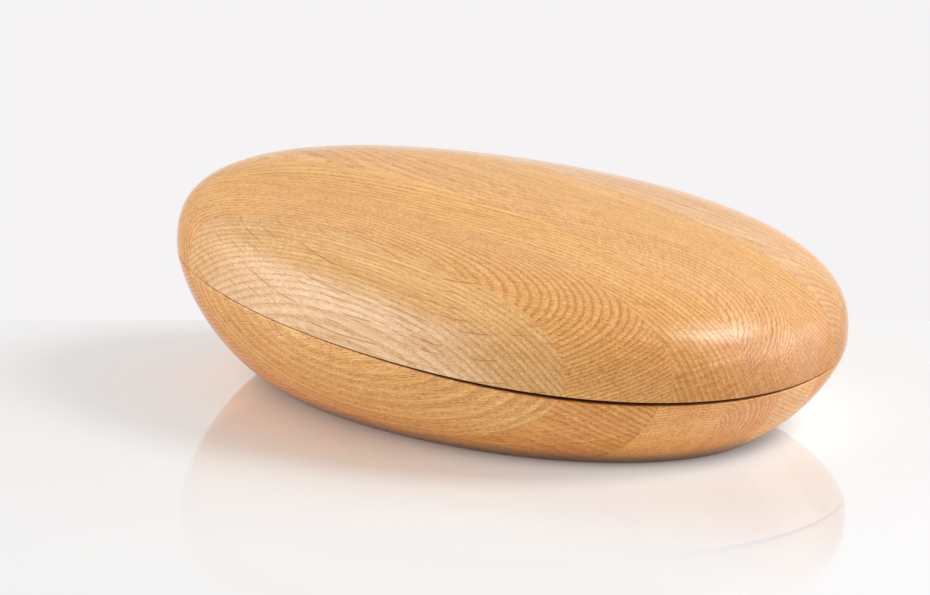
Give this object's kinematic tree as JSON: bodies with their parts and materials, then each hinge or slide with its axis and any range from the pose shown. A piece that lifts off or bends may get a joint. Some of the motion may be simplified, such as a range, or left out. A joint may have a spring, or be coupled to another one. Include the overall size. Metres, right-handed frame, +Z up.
{
  "type": "lidded bowl",
  "caption": "Low lidded pebble-shaped bowl of edge-glued oak boards, carved hollow, with a flat foot and a rebated lid that lifts off a leaning seam.",
  "frame": {"origin": "centre of the bowl's bounding box, on the table plane under the foot", "axes": "+X along the boards towards the low end of the lid, +Y square to the glue lines towards the back, +Z up"},
  "size_m": [0.3966, 0.2806, 0.1259],
  "materials": {
    "bowl_board_1": "oiled oak",
    "bowl_board_2": "oiled oak",
    "bowl_board_3": "oiled oak",
    "bowl_board_4": "oiled oak",
    "bowl_board_5": "oiled oak",
    "bowl_board_6": "oiled oak",
    "bowl_board_7": "oiled oak",
    "bowl_board_8": "oiled oak",
    "lid_board_1": "oiled oak",
    "lid_board_2": "oiled oak",
    "lid_board_3": "oiled oak",
    "lid_board_4": "oiled oak",
    "lid_board_5": "oiled oak",
    "lid_board_6": "oiled oak",
    "lid_board_7": "oiled oak"
  },
  "bodies": {
    "bowl": {"bowl_board_1": "bowl_board_1", "bowl_board_2": "bowl_board_2", "bowl_board_3": "bowl_board_3", "bowl_board_4": "bowl_board_4", "bowl_board_5": "bowl_board_5", "bowl_board_6": "bowl_board_6", "bowl_board_7": "bowl_board_7", "bowl_board_8": "bowl_board_8"},
    "lid": {"lid_board_1": "lid_board_1", "lid_board_2": "lid_board_2", "lid_board_3": "lid_board_3", "lid_board_4": "lid_board_4", "lid_board_5": "lid_board_5", "lid_board_6": "lid_board_6", "lid_board_7": "lid_board_7"}
  },
  "joints": [
    {"name": "lid_lift", "type": "slide", "parent": "bowl", "child": "lid", "axis": [0.0892, 0, 0.996], "range_m": [0, 0.16]}
  ]
}
